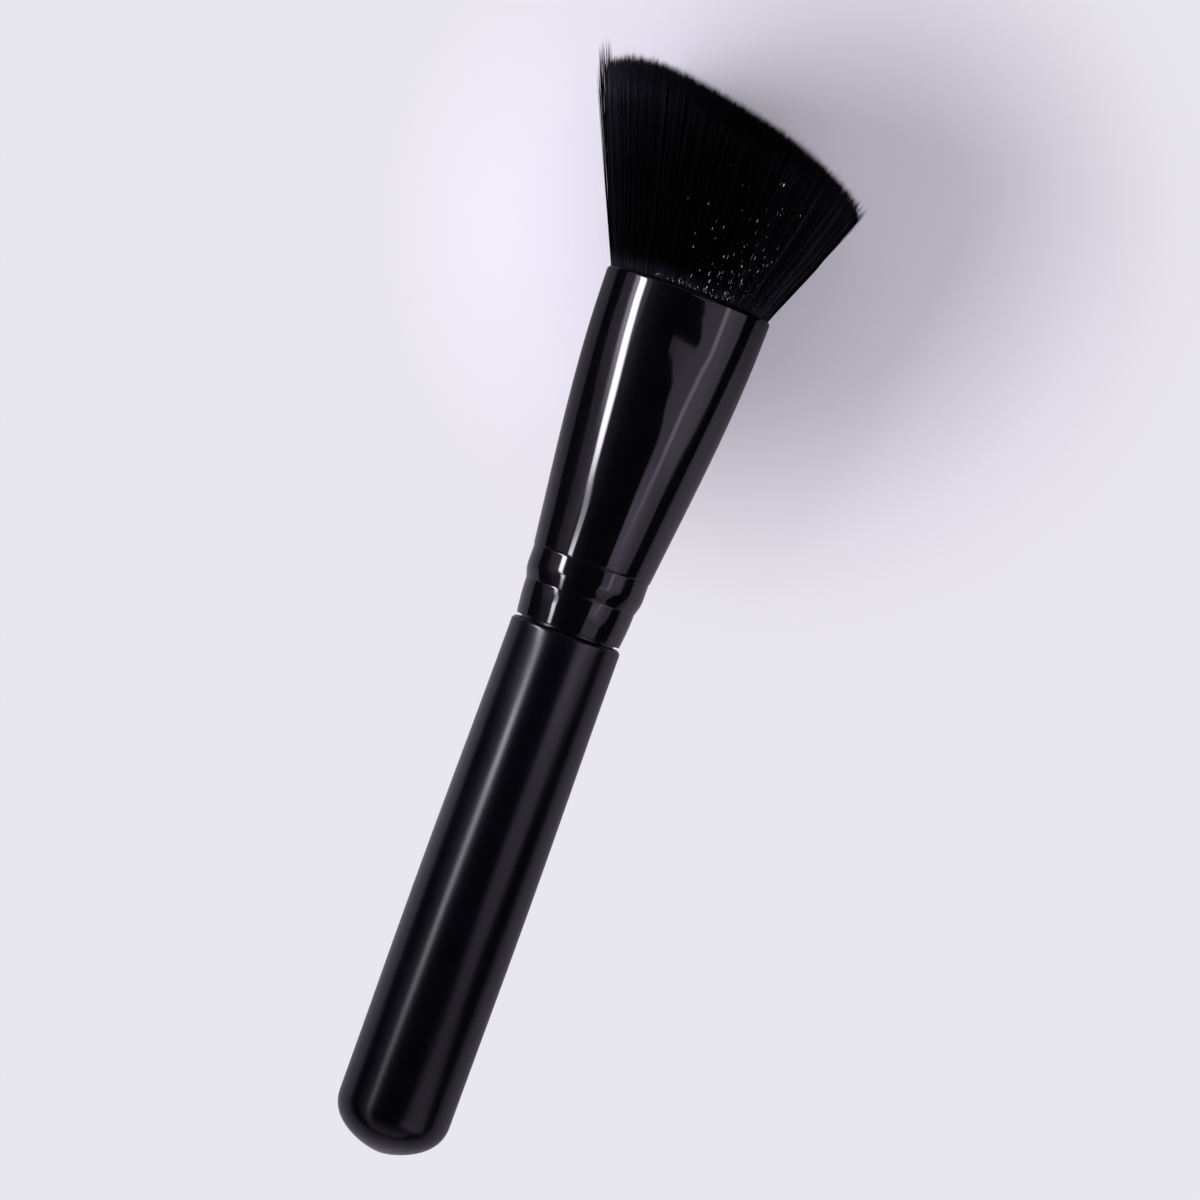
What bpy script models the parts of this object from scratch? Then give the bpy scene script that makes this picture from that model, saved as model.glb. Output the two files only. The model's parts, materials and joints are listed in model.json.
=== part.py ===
"""Angled blush brush: a turned wooden handle, a flared metal ferrule and a slanted, domed tuft.

Metres, +Z up. Each piece is modelled along the brush's own axis, from the butt at zero up to the
tuft, with the long side of the tuft towards -X. An empty then lays the brush on a table: the butt
and the front of the tuft touch the table, and the head points along +Y.
"""

import math

import bmesh
import bpy
import numpy as np
from mathutils import Matrix, Vector

# Handle, turned from one piece of wood and lacquered
HANDLE_LENGTH = 0.0773
NECK_DIAMETER = 0.0160
BELLY_DIAMETER = 0.0165
BUTT_DIAMETER = 0.0163
BELLY_PLACE_SHARE = 0.42
BUTT_DOME_DEPTH = 0.0068
BUTT_DOME_ACROSS_POWER = 1.6
BUTT_DOME_ALONG_POWER = 2.5
BUTT_FLAT_DIAMETER = 0.0044
SHOULDER_ROUNDING = 0.0006
TENON_LENGTH = 0.018
TENON_CHAMFER = 0.0006
GLUE_GROOVE_DEPTH = 0.0003
GLUE_GROOVE_WIDTH = 0.0012

# Ferrule, spun from thin aluminium tube and crimped on to the tenon
FERRULE_LENGTH = 0.0498
FERRULE_WALL = 0.00045
MOUTH_DIAMETER = 0.0241
FOOT_STEP = 0.0004
FOOT_ROUNDING = 0.0002
LOWER_CRIMP_HEIGHT = 0.0051
LOWER_CRIMP_RISE = 0.0004
BAND_SHOULDER_LENGTH = 0.0023
BAND_RISE = 0.0005
UPPER_CRIMP_HEIGHT = 0.0097
CRIMP_LINE_DEPTH = 0.00015
CRIMP_LINE_WIDTH = 0.0006
FLARE_STEP = 0.0001
LIP_LENGTH = 0.0030
LIP_FLARE = 0.0002
FLARE_START_SLOPE_SHARE = 1.25
FLARE_END_SLOPE_SHARE = 0.2

# Tuft, straight fibres that fan out of the mouth to a slanted, domed cut
LONG_SIDE_LENGTH = 0.0262
SHORT_SIDE_LENGTH = 0.0190
LONG_SIDE_SPREAD = 0.0117
SHORT_SIDE_SPREAD = 0.0069
DEPTH_SPREAD = 0.0060
DOME_RISE = 0.0046
LONG_SIDE_DOME_POWER = 3.5
SHORT_SIDE_DOME_POWER = 2.4
FACE_FALL = 0.0010
STRAND_ROWS = 8
ROOT_DEPTH = 0.0085
ROOT_SLICE_THICKNESS = 0.0030
ROOT_SHARE = 0.84
MOUTH_STRAND_SHARE = 0.90
TAPER_STRAND_SHARE = 0.86
TAPER_START_SHARE = 0.84

# Adhesive round the end of the tenon
ADHESIVE_CAP = 0.0020
ADHESIVE_SKIRT = 0.0070

# Clearances
TENON_CLEARANCE = 0.0003
SEAT_GAP = 0.0003
RESIN_GAP = 0.0003

# How finely round shapes are made
TURN_STEPS = 48
ROUNDING_STEPS = 3
DOME_STEPS = 6
BARREL_STEPS = 4
FLARE_STEPS = 8
BORE_STEPS = 3
MERGE_DISTANCE = 0.00001
SHARP_ANGLE = math.radians(35)

# Worked out from the sizes above
FOOT_RADIUS = NECK_DIAMETER / 2 - FOOT_STEP
TENON_RADIUS = FOOT_RADIUS - FERRULE_WALL - TENON_CLEARANCE
BAND_RADIUS = FOOT_RADIUS + LOWER_CRIMP_RISE + BAND_RISE
MOUTH_RADIUS = MOUTH_DIAMETER / 2
FERRULE_FOOT = HANDLE_LENGTH + SEAT_GAP
FERRULE_RIM = FERRULE_FOOT + FERRULE_LENGTH
ROOT_TOP = FERRULE_RIM - ROOT_DEPTH
ROOT_BOTTOM = ROOT_TOP - ROOT_SLICE_THICKNESS
TENON_TOP = HANDLE_LENGTH + TENON_LENGTH
ADHESIVE_TOP = TENON_TOP + RESIN_GAP + ADHESIVE_CAP
FIBRE_MOUTH_RADIUS = MOUTH_RADIUS - FERRULE_WALL - RESIN_GAP


def clear_scene():
    for obj in list(bpy.data.objects):
        bpy.data.objects.remove(obj, do_unlink=True)


def make_collection(name):
    made = bpy.data.collections.new(name)
    bpy.context.scene.collection.children.link(made)
    return made


def principled(name, colour, roughness, metallic=0.0):
    made = bpy.data.materials.new(name)
    made.use_nodes = True
    made.diffuse_color = (*colour, 1.0)
    shader = made.node_tree.nodes["Principled BSDF"]
    shader.inputs["Base Color"].default_value = (*colour, 1.0)
    shader.inputs["Roughness"].default_value = roughness
    shader.inputs["Metallic"].default_value = metallic
    return made


def blend(start, end, share):
    return start + (end - start) * share


def turned(name, outline, closed, parts, material):
    """A solid turned about Z from (radius, height) points that run down its outer side."""
    last = len(outline) - 1
    edges = [(i, i + 1) for i in range(last)]
    if closed:
        edges.append((last, 0))
    mesh = bpy.data.meshes.new(name)
    mesh.from_pydata([(radius, 0, height) for radius, height in outline], edges, [])
    obj = bpy.data.objects.new(name, mesh)
    parts.objects.link(obj)
    screw = obj.modifiers.new("Turn", "SCREW")
    screw.axis = "Z"
    screw.steps = TURN_STEPS
    screw.render_steps = TURN_STEPS
    screw.use_merge_vertices = True
    screw.merge_threshold = MERGE_DISTANCE
    graph = bpy.context.evaluated_depsgraph_get()
    solid = bpy.data.meshes.new_from_object(obj.evaluated_get(graph))
    obj.modifiers.clear()
    obj.data = solid
    bpy.data.meshes.remove(mesh)
    solid.name = name
    solid.shade_smooth()
    solid.set_sharp_from_angle(angle=SHARP_ANGLE)
    solid.materials.append(material)
    return obj


def rounded_edge(centre, size, start, end, steps):
    """Points of an ellipse's arc, where size is its (radius, height) and angles count from +X."""
    angles = [blend(start, end, i / steps) for i in range(steps + 1)]
    return [(centre[0] + size[0] * math.cos(a), centre[1] + size[1] * math.sin(a)) for a in angles]


def swell(low, high, share):
    """A smooth half wave from low at share 0 to high at share 1."""
    return blend(low, high, (1 - math.cos(math.pi * share)) / 2)


def glue_groove(height):
    """A shallow V turned into the tenon, behind one of the ferrule's crimp lines."""
    half = GLUE_GROOVE_WIDTH / 2
    return [
        (TENON_RADIUS, height + half),
        (TENON_RADIUS - GLUE_GROOVE_DEPTH, height),
        (TENON_RADIUS, height - half),
    ]


def butt_dome():
    """(radius, height) from the butt's widest ring down its dome to the rim of its flat.

    As shares of the widest radius and of a full dome's depth, r and d obey r^a + d^b = 1, with the
    powers across and along. The depth is then measured to the flat.
    """
    across, along = 2 / BUTT_DOME_ACROSS_POWER, 2 / BUTT_DOME_ALONG_POWER
    flat_turn = math.acos((BUTT_FLAT_DIAMETER / BUTT_DIAMETER) ** (1 / across))
    points = []
    for i in range(DOME_STEPS + 1):
        turn = flat_turn * i / DOME_STEPS
        radius = BUTT_DIAMETER / 2 * math.cos(turn) ** across
        depth = BUTT_DOME_DEPTH * (math.sin(turn) / math.sin(flat_turn)) ** along
        points.append((radius, BUTT_DOME_DEPTH - depth))
    return points


def make_handle(parts):
    """The grip swells slightly to its belly, and ends in a dome with a small flat at the butt."""
    neck, belly, butt = NECK_DIAMETER / 2, BELLY_DIAMETER / 2, BUTT_DIAMETER / 2
    belly_height = blend(BUTT_DOME_DEPTH, HANDLE_LENGTH, BELLY_PLACE_SHARE)
    shoulder_height = HANDLE_LENGTH - SHOULDER_ROUNDING
    outline = [
        (0, TENON_TOP),
        (TENON_RADIUS - TENON_CHAMFER, TENON_TOP),
        (TENON_RADIUS, TENON_TOP - TENON_CHAMFER),
    ]
    outline += glue_groove(FERRULE_FOOT + UPPER_CRIMP_HEIGHT)
    outline += glue_groove(FERRULE_FOOT + LOWER_CRIMP_HEIGHT)
    outline.append((TENON_RADIUS, HANDLE_LENGTH))
    outline += rounded_edge(
        (neck - SHOULDER_ROUNDING, shoulder_height),
        (SHOULDER_ROUNDING, SHOULDER_ROUNDING),
        math.pi / 2,
        0,
        ROUNDING_STEPS,
    )
    for i in range(1, BARREL_STEPS + 1):
        share = i / BARREL_STEPS
        outline.append((swell(neck, belly, share), blend(shoulder_height, belly_height, share)))
    for i in range(1, BARREL_STEPS):
        share = i / BARREL_STEPS
        outline.append((swell(belly, butt, share), blend(belly_height, BUTT_DOME_DEPTH, share)))
    outline += butt_dome()
    outline.append((0, 0))
    lacquer = principled("satin_black_lacquer", (0.006, 0.006, 0.007), 0.3)
    return turned("handle", outline, False, parts, lacquer)


def flare_radius(share):
    """The ferrule's outer radius from the upper crimp line, at share 0, to its lip, at share 1.

    A cubic through both ends, with its slope at each end given in rises per flare length.
    """
    rise = (
        share**2 * (3 - 2 * share)
        + FLARE_START_SLOPE_SHARE * share * (1 - share) ** 2
        - FLARE_END_SLOPE_SHARE * share**2 * (1 - share)
    )
    return blend(BAND_RADIUS + FLARE_STEP, MOUTH_RADIUS - LIP_FLARE, rise)


def ferrule_outline():
    """(radius, height) of the ferrule's outer side, from its foot up to its rim."""
    crimp_radius = FOOT_RADIUS + LOWER_CRIMP_RISE
    flare_start = UPPER_CRIMP_HEIGHT + CRIMP_LINE_WIDTH / 2
    flare_end = FERRULE_LENGTH - LIP_LENGTH
    points = [(FOOT_RADIUS - FOOT_ROUNDING, 0), (FOOT_RADIUS, FOOT_ROUNDING)]
    for i in range(1, ROUNDING_STEPS + 1):
        radius = FOOT_RADIUS + LOWER_CRIMP_RISE * math.sin(math.pi / 2 * i / ROUNDING_STEPS)
        points.append((radius, blend(FOOT_ROUNDING, LOWER_CRIMP_HEIGHT, i / ROUNDING_STEPS)))
    for i in range(1, ROUNDING_STEPS + 1):
        turn = math.pi / 2 * i / ROUNDING_STEPS
        radius = crimp_radius + BAND_RISE * math.sin(turn)
        points.append((radius, LOWER_CRIMP_HEIGHT + BAND_SHOULDER_LENGTH * i / ROUNDING_STEPS))
    points.append((BAND_RADIUS, UPPER_CRIMP_HEIGHT - CRIMP_LINE_WIDTH / 2))
    points.append((BAND_RADIUS - CRIMP_LINE_DEPTH, UPPER_CRIMP_HEIGHT))
    for i in range(FLARE_STEPS + 1):
        share = i / FLARE_STEPS
        points.append((flare_radius(share), blend(flare_start, flare_end, share)))
    points.append((MOUTH_RADIUS, FERRULE_LENGTH - FERRULE_WALL / 2))
    return [(radius, FERRULE_FOOT + height) for radius, height in points]


def bore_radius(height):
    """The ferrule's inner radius at a height along the brush."""
    radii, heights = zip(*ferrule_outline())
    return float(np.interp(height, heights, radii)) - FERRULE_WALL


def make_ferrule(parts):
    """One even wall follows the outer side, and its rim is rounded over at the mouth."""
    outer = ferrule_outline()
    inner = [(radius - FERRULE_WALL, height) for radius, height in outer]
    inner[0] = (inner[1][0], FERRULE_FOOT)
    lip_centre = (MOUTH_RADIUS - FERRULE_WALL / 2, FERRULE_RIM - FERRULE_WALL / 2)
    lip_size = (FERRULE_WALL / 2, FERRULE_WALL / 2)
    lip = rounded_edge(lip_centre, lip_size, math.pi, 0, 2 * ROUNDING_STEPS)
    outline = outer[-2::-1] + inner[:-1] + lip
    anodised = principled("gloss_black_metal", (0.006, 0.006, 0.007), 0.1, 0.6)
    return turned("ferrule", outline, True, parts, anodised)


def make_tenon_adhesive(parts):
    """The glue that the tenon pushes up: a cap over its end, with a skirt down its sides."""
    skirt_foot = TENON_TOP - ADHESIVE_SKIRT
    heights = [blend(ADHESIVE_TOP, skirt_foot, i / BORE_STEPS) for i in range(BORE_STEPS + 1)]
    outline = [(0, ADHESIVE_TOP)]
    outline += [(bore_radius(height) - RESIN_GAP, height) for height in heights]
    inside = TENON_RADIUS + RESIN_GAP
    outline += [(inside, skirt_foot), (inside, TENON_TOP + RESIN_GAP), (0, TENON_TOP + RESIN_GAP)]
    glue = principled("cream_glue", (0.72, 0.66, 0.48), 0.5)
    return turned("tenon_adhesive", outline, False, parts, glue)


def make_root_plug(parts):
    """Resin poured round the ends of the fibres, from the glue up to the tuft's own slice."""
    top, bottom = ROOT_BOTTOM - RESIN_GAP, ADHESIVE_TOP + RESIN_GAP
    heights = [blend(top, bottom, i / BORE_STEPS) for i in range(BORE_STEPS + 1)]
    outline = [(0, top)]
    outline += [(bore_radius(height) - RESIN_GAP, height) for height in heights]
    outline.append((0, bottom))
    resin = principled("smoky_resin", (0.055, 0.045, 0.035), 0.3)
    return turned("root_plug", outline, False, parts, resin)


def hexagon_to_disc(point):
    """Moves a point of the unit hexagon along its ray, so that the hexagon's rim becomes a circle."""
    if point.length == 0:
        return point
    sides = [Vector((math.cos(a), math.sin(a))) for a in (0, math.pi / 3, 2 * math.pi / 3)]
    ring = max(abs(point.xy.dot(side)) for side in sides) / math.cos(math.pi / 6)
    return point * (ring / point.length)


def fibre_end(x, y):
    """Where the fibre at (x, y) of the unit disc ends: on a slanted cut with a dome over it.

    The dome is one less |x| to a power, which is higher on the long side, and it falls a little
    towards the tuft's two faces.
    """
    side = (x + 1) / 2
    across = blend(
        -FIBRE_MOUTH_RADIUS - LONG_SIDE_SPREAD, FIBRE_MOUTH_RADIUS + SHORT_SIDE_SPREAD, side
    )
    cut = blend(LONG_SIDE_LENGTH, SHORT_SIDE_LENGTH, side)
    power = LONG_SIDE_DOME_POWER if x < 0 else SHORT_SIDE_DOME_POWER
    dome = DOME_RISE * (1 - abs(x) ** power) - FACE_FALL * y**2
    return Vector((across, y * (FIBRE_MOUTH_RADIUS + DEPTH_SPREAD), FERRULE_RIM + cut + dome))


def fibre_point(x, y, level):
    """Level -1 is the slice's underside, 0 its top, 1 the mouth, 2 the taper's start and 3 the tip."""
    if level <= 0:
        height = ROOT_TOP if level == 0 else ROOT_BOTTOM
        radius = bore_radius(ROOT_BOTTOM) - RESIN_GAP
        return Vector((x * radius, y * radius, height))
    mouth = Vector((x * FIBRE_MOUTH_RADIUS, y * FIBRE_MOUTH_RADIUS, FERRULE_RIM))
    share = (0, TAPER_START_SHARE, 1)[level - 1]
    return mouth.lerp(fibre_end(x, y), share)


def spread_level(points):
    """Widens a level over the unit disc until its outermost points reach the rim."""
    reach = max(point.co.xy.length for point in points)
    for point in points:
        point.co.xy /= reach


def make_bristle_tuft(parts):
    """Three-sided strands stand on the cells of a slice of the root, each apart from the next.

    The strands are built over the unit disc, with whole numbers for their levels in place of
    heights, and then every point is carried to its place in the fan.
    """
    bm = bmesh.new()
    bmesh.ops.create_circle(bm, cap_ends=True, cap_tris=True, segments=6, radius=1)
    bmesh.ops.subdivide_edges(bm, edges=bm.edges[:], cuts=STRAND_ROWS - 1, use_grid_fill=True)
    bmesh.ops.recalc_face_normals(bm, faces=bm.faces[:])
    for point in bm.verts:
        point.co = hexagon_to_disc(point.co)
    under = bm.faces[:]
    grown = bmesh.ops.extrude_face_region(bm, geom=under)["geom"]
    top = [item for item in grown if isinstance(item, bmesh.types.BMFace)]
    for point in {point for face in under for point in face.verts}:
        point.co.z = -1
    bmesh.ops.dissolve_faces(bm, faces=under)
    shares = (ROOT_SHARE, MOUTH_STRAND_SHARE / ROOT_SHARE, TAPER_STRAND_SHARE / MOUTH_STRAND_SHARE)
    for level, share in enumerate(shares):
        top = bmesh.ops.extrude_discrete_faces(bm, faces=top)["faces"]
        for face in top:
            centre = face.calc_center_median()
            for point in face.verts:
                point.co = centre.lerp(point.co, share)
                point.co.z = level
        if level > 0:
            spread_level([point for face in top for point in face.verts])
    tips = bmesh.ops.poke(bm, faces=top)["verts"]
    for tip in tips:
        tip.co.z = len(shares)
    spread_level(tips)
    for point in bm.verts:
        point.co = fibre_point(point.co.x, point.co.y, round(point.co.z))
    bmesh.ops.recalc_face_normals(bm, faces=bm.faces[:])
    mesh = bpy.data.meshes.new("bristle_tuft")
    bm.to_mesh(mesh)
    bm.free()
    mesh.materials.append(principled("black_fibre", (0.005, 0.005, 0.006), 0.5))
    obj = bpy.data.objects.new("bristle_tuft", mesh)
    parts.objects.link(obj)
    return obj


def points_of(obj):
    """The object's mesh points as rows of x, y and z."""
    points = np.empty(len(obj.data.vertices) * 3)
    obj.data.vertices.foreach_get("co", points)
    return points.reshape(-1, 3)


def lay_down(parts, tuft):
    """Lays the brush with its front down, its butt and tuft touching the table at zero height.

    The lean is the steepest line from the butt's widest ring to any point of the tuft. The brush's
    footprint is then centred on the origin.
    """
    fan = points_of(tuft)
    rises = fan[:, 1] - BUTT_DIAMETER / 2
    lean = np.arctan2(rises, fan[:, 2] - BUTT_DOME_DEPTH).max()
    rest = bpy.data.objects.new("rest_on_table", None)
    rest.empty_display_size = MOUTH_DIAMETER
    parts.objects.link(rest)
    turn = Matrix.Rotation(lean - math.pi / 2, 3, "X")
    pieces = [obj for obj in parts.objects if obj.type == "MESH"]
    laid = np.vstack([points_of(obj) for obj in pieces]) @ np.array(turn).T
    low, high = laid.min(axis=0), laid.max(axis=0)
    rest.location = (-(low[0] + high[0]) / 2, -(low[1] + high[1]) / 2, -low[2])
    rest.rotation_euler = turn.to_euler()
    for obj in pieces:
        obj.parent = rest


def main():
    clear_scene()
    parts = make_collection("angled_blush_brush")
    make_handle(parts)
    make_ferrule(parts)
    make_tenon_adhesive(parts)
    make_root_plug(parts)
    tuft = make_bristle_tuft(parts)
    lay_down(parts, tuft)


main()
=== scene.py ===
"""Angled blush brush: a lacquered wooden handle, a gloss black ferrule and a slanted tuft of fibres."""

import json

import bpy
import numpy as np
from mathutils import Matrix, Vector


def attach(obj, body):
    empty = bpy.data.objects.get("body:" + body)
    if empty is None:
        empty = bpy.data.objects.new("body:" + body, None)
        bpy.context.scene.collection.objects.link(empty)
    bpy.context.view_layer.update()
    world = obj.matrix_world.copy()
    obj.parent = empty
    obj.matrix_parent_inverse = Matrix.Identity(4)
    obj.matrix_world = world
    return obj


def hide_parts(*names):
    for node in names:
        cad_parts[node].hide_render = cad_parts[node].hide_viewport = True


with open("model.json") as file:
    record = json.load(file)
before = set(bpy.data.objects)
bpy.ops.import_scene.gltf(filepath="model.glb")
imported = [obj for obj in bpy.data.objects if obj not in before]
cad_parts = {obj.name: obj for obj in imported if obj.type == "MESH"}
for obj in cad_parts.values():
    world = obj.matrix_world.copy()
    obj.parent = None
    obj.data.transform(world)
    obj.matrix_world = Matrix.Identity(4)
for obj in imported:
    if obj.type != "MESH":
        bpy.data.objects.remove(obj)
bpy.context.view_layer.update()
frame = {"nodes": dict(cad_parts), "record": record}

# How the brush lies
# It rests on the table on its butt and on one face of its tuft. The record's mount is the middle of
# the butt's flat end and looks away from the brush, so it gives the brush's own three directions.
butt_mount = frame["record"]["mounts"][0]
BUTT = np.array(butt_mount["pos_m"])
ALONG = -np.array(butt_mount["axis"])
ACROSS = np.array([1.0, 0.0, 0.0])
BELOW = np.cross(ALONG, ACROSS)


def laid(x, y, z):
    """A point's place is the butt's middle, plus x across, y below and z along the brush."""
    return BUTT + np.multiply.outer(x, ACROSS) + np.multiply.outer(y, BELOW) + np.multiply.outer(z, ALONG)


# Handle
# One piece of hardwood, turned to a slim barrel with a domed butt, a rounded shoulder and a tenon
# that goes up inside the ferrule. It is sprayed with a satin black lacquer.
HANDLE_LENGTH = 0.0773
BUTT_RADIUS = 0.00815
BELLY_RADIUS = 0.00825
NECK_RADIUS = 0.0080
BELLY_HEIGHT = 0.0360
DOME_DEPTH = 0.0070
DOME_ACROSS_POWER = 1.5
DOME_ALONG_POWER = 2.5
BUTT_FLAT_RADIUS = 0.0009
SHOULDER_ROUNDING = 0.0008
TENON_RADIUS = 0.00685
TENON_LENGTH = 0.018
TENON_CHAMFER = 0.0006
DOME_ROWS = 60
BARREL_ROWS = 24
SHOULDER_ROWS = 14
SHARP_ANGLE = np.radians(40)
NOISE_RANGE = (0.3, 0.7)
LACQUER_DARK = (0.0004, 0.0004, 0.0014, 1.0)
LACQUER_LIGHT = (0.0011, 0.0011, 0.0027, 1.0)
LACQUER_PATCH = 0.009
LACQUER_ROUGHNESS = (0.215, 0.235)
LACQUER_ROUGH_PATCH = 0.008
LACQUER_SHEEN = 0.32
PEEL_GRAIN = 0.0007
PEEL_DEPTH = 0.000003
PEEL_STRENGTH = 0.3


def swell(low, high, share):
    """Half a cosine wave that starts level at low, where share is 0, and ends level at high."""
    return low + (high - low) * (1 - np.cos(np.pi * share)) / 2


def arc(centre_radius, centre_height, radius_size, height_size, start, end, count):
    """Points (radius, height) of an ellipse's arc, by the cosine and sine of evenly spaced angles."""
    turn = np.linspace(start, end, count)
    radius = centre_radius + radius_size * np.cos(turn)
    height = centre_height + height_size * np.sin(turn)
    return np.column_stack([radius, height])


def turned_piece(name, outline, closed, around=256):
    """A surface of revolution about the brush's axis, facing outwards.

    Point (i, j) has the radius and height of outline point i, turned by 2 pi j / around. A closed
    outline joins its last row to its first. An open one ends on the axis, in a fan at each end.
    UV runs once round the piece, and up it in metres.
    """
    turn = 2 * np.pi * np.arange(around) / around
    rows = len(outline)
    radius, height = outline[:, 0], outline[:, 1]
    points = laid(
        np.multiply.outer(radius, np.cos(turn)),
        np.multiply.outer(radius, np.sin(turn)),
        np.multiply.outer(height, np.ones(around)),
    ).reshape(-1, 3)
    i = np.arange(rows if closed else rows - 1)[:, None]
    j = np.arange(around)[None, :]
    above, beside = (i + 1) % rows, (j + 1) % around

    def by_corner(*corners):
        return np.stack(np.broadcast_arrays(*corners), -1)

    here, there = i * around, above * around
    faces = by_corner(here + j, here + beside, there + beside, there + j).reshape(-1, 4).tolist()
    side = by_corner(j + 0 * i, j + 1 + 0 * i, j + 1 + 0 * i, j + 0 * i) / around
    rise = height[by_corner(i + 0 * j, i + 0 * j, above + 0 * j, above + 0 * j)]
    uv = np.stack([side, rise], -1).reshape(-1, 2)
    if not closed:
        foot, top = len(points), len(points) + 1
        poles = laid(np.zeros(2), np.zeros(2), height[[0, -1]])
        points = np.vstack([points, poles])
        first, last = np.arange(around), (rows - 1) * around + np.arange(around)
        foot_fan = np.column_stack([np.full(around, foot), np.roll(first, -1), first])
        top_fan = np.column_stack([np.full(around, top), last, np.roll(last, -1)])
        faces += foot_fan.tolist() + top_fan.tolist()
        middle, start = (first + 0.5) / around, first / around
        foot_uv = np.stack([middle, start + 1 / around, start], -1)
        top_uv = np.stack([middle, start, start + 1 / around], -1)
        foot_uv = np.stack([foot_uv, np.full(foot_uv.shape, height[0])], -1)
        top_uv = np.stack([top_uv, np.full(top_uv.shape, height[-1])], -1)
        uv = np.vstack([uv, foot_uv.reshape(-1, 2), top_uv.reshape(-1, 2)])
    mesh = bpy.data.meshes.new(name)
    mesh.from_pydata(points, [], faces)
    mesh.uv_layers.new(name="turned").uv.foreach_set("vector", uv.astype(np.float32).ravel())
    mesh.shade_smooth()
    mesh.set_sharp_from_angle(angle=SHARP_ANGLE)
    piece = bpy.data.objects.new(name, mesh)
    bpy.context.scene.collection.objects.link(piece)
    return piece


def finish_of(name):
    """A new material, its nodes and its Principled shader."""
    material = bpy.data.materials.new(name)
    material.use_nodes = True
    return material, material.node_tree, material.node_tree.nodes["Principled BSDF"]


def mottle(tree, coordinates, grain, detail=2.0):
    """Smooth noise from 0 to 1 in blobs of about the grain's size, in the coordinates' own unit."""
    noise = tree.nodes.new("ShaderNodeTexNoise")
    noise.inputs["Scale"].default_value = 1 / grain
    noise.inputs["Detail"].default_value = detail
    tree.links.new(coordinates, noise.inputs["Vector"])
    return noise.outputs["Fac"]


def between(tree, share, low, high):
    """Carries noise, which keeps near its middle, to the range from low to high."""
    spread = tree.nodes.new("ShaderNodeMapRange")
    spread.inputs["From Min"].default_value = NOISE_RANGE[0]
    spread.inputs["From Max"].default_value = NOISE_RANGE[1]
    spread.inputs["To Min"].default_value = low
    spread.inputs["To Max"].default_value = high
    tree.links.new(share, spread.inputs["Value"])
    return spread.outputs["Result"]


def two_tone(tree, share, dark, light):
    """The colour that lies share of the way from dark to light."""
    mix = tree.nodes.new("ShaderNodeMix")
    mix.data_type = "RGBA"
    mix.inputs["A"].default_value = dark
    mix.inputs["B"].default_value = light
    tree.links.new(share, mix.inputs["Factor"])
    return mix.outputs["Result"]


def raised(tree, height, depth, strength, under=None):
    """A bump whose full height is depth in metres, over another bump if one is given."""
    bump = tree.nodes.new("ShaderNodeBump")
    bump.inputs["Distance"].default_value = depth
    bump.inputs["Strength"].default_value = strength
    tree.links.new(height, bump.inputs["Height"])
    if under is not None:
        tree.links.new(under, bump.inputs["Normal"])
    return bump.outputs["Normal"]


def lacquer_finish():
    """Satin black lacquer: faint orange peel, and sheen that varies a little over the barrel."""
    material, tree, shader = finish_of("satin_black_lacquer")
    place = tree.nodes.new("ShaderNodeTexCoord").outputs["Object"]
    tone = between(tree, mottle(tree, place, LACQUER_PATCH), 0, 1)
    tree.links.new(two_tone(tree, tone, LACQUER_DARK, LACQUER_LIGHT), shader.inputs["Base Color"])
    rough = between(tree, mottle(tree, place, LACQUER_ROUGH_PATCH), *LACQUER_ROUGHNESS)
    tree.links.new(rough, shader.inputs["Roughness"])
    shader.inputs["Specular IOR Level"].default_value = LACQUER_SHEEN
    peel = raised(tree, mottle(tree, place, PEEL_GRAIN), PEEL_DEPTH, PEEL_STRENGTH)
    tree.links.new(peel, shader.inputs["Normal"])
    return material


dome_turn = np.linspace(0, np.pi / 2, DOME_ROWS)
dome = np.column_stack([
    BUTT_RADIUS * np.sin(dome_turn) ** (2 / DOME_ACROSS_POWER),
    DOME_DEPTH * (1 - np.cos(dome_turn) ** (2 / DOME_ALONG_POWER)),
])
dome = dome[dome[:, 0] > BUTT_FLAT_RADIUS]
barrel = np.linspace(0, 1, BARREL_ROWS)[1:]
shoulder_height = HANDLE_LENGTH - SHOULDER_ROUNDING
handle_outline = np.vstack([
    dome,
    np.column_stack([
        swell(BUTT_RADIUS, BELLY_RADIUS, barrel),
        DOME_DEPTH + (BELLY_HEIGHT - DOME_DEPTH) * barrel,
    ]),
    np.column_stack([
        swell(BELLY_RADIUS, NECK_RADIUS, barrel),
        BELLY_HEIGHT + (shoulder_height - BELLY_HEIGHT) * barrel,
    ]),
    arc(
        NECK_RADIUS - SHOULDER_ROUNDING, shoulder_height,
        SHOULDER_ROUNDING, SHOULDER_ROUNDING, 0, np.pi / 2, SHOULDER_ROWS,
    )[1:],
    [
        (TENON_RADIUS, HANDLE_LENGTH),
        (TENON_RADIUS, HANDLE_LENGTH + TENON_LENGTH - TENON_CHAMFER),
        (TENON_RADIUS - TENON_CHAMFER, HANDLE_LENGTH + TENON_LENGTH),
    ],
])
handle = turned_piece("turned_handle", handle_outline, closed=False)
handle.data.materials.append(lacquer_finish())
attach(handle, "root")
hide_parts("handle")

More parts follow.
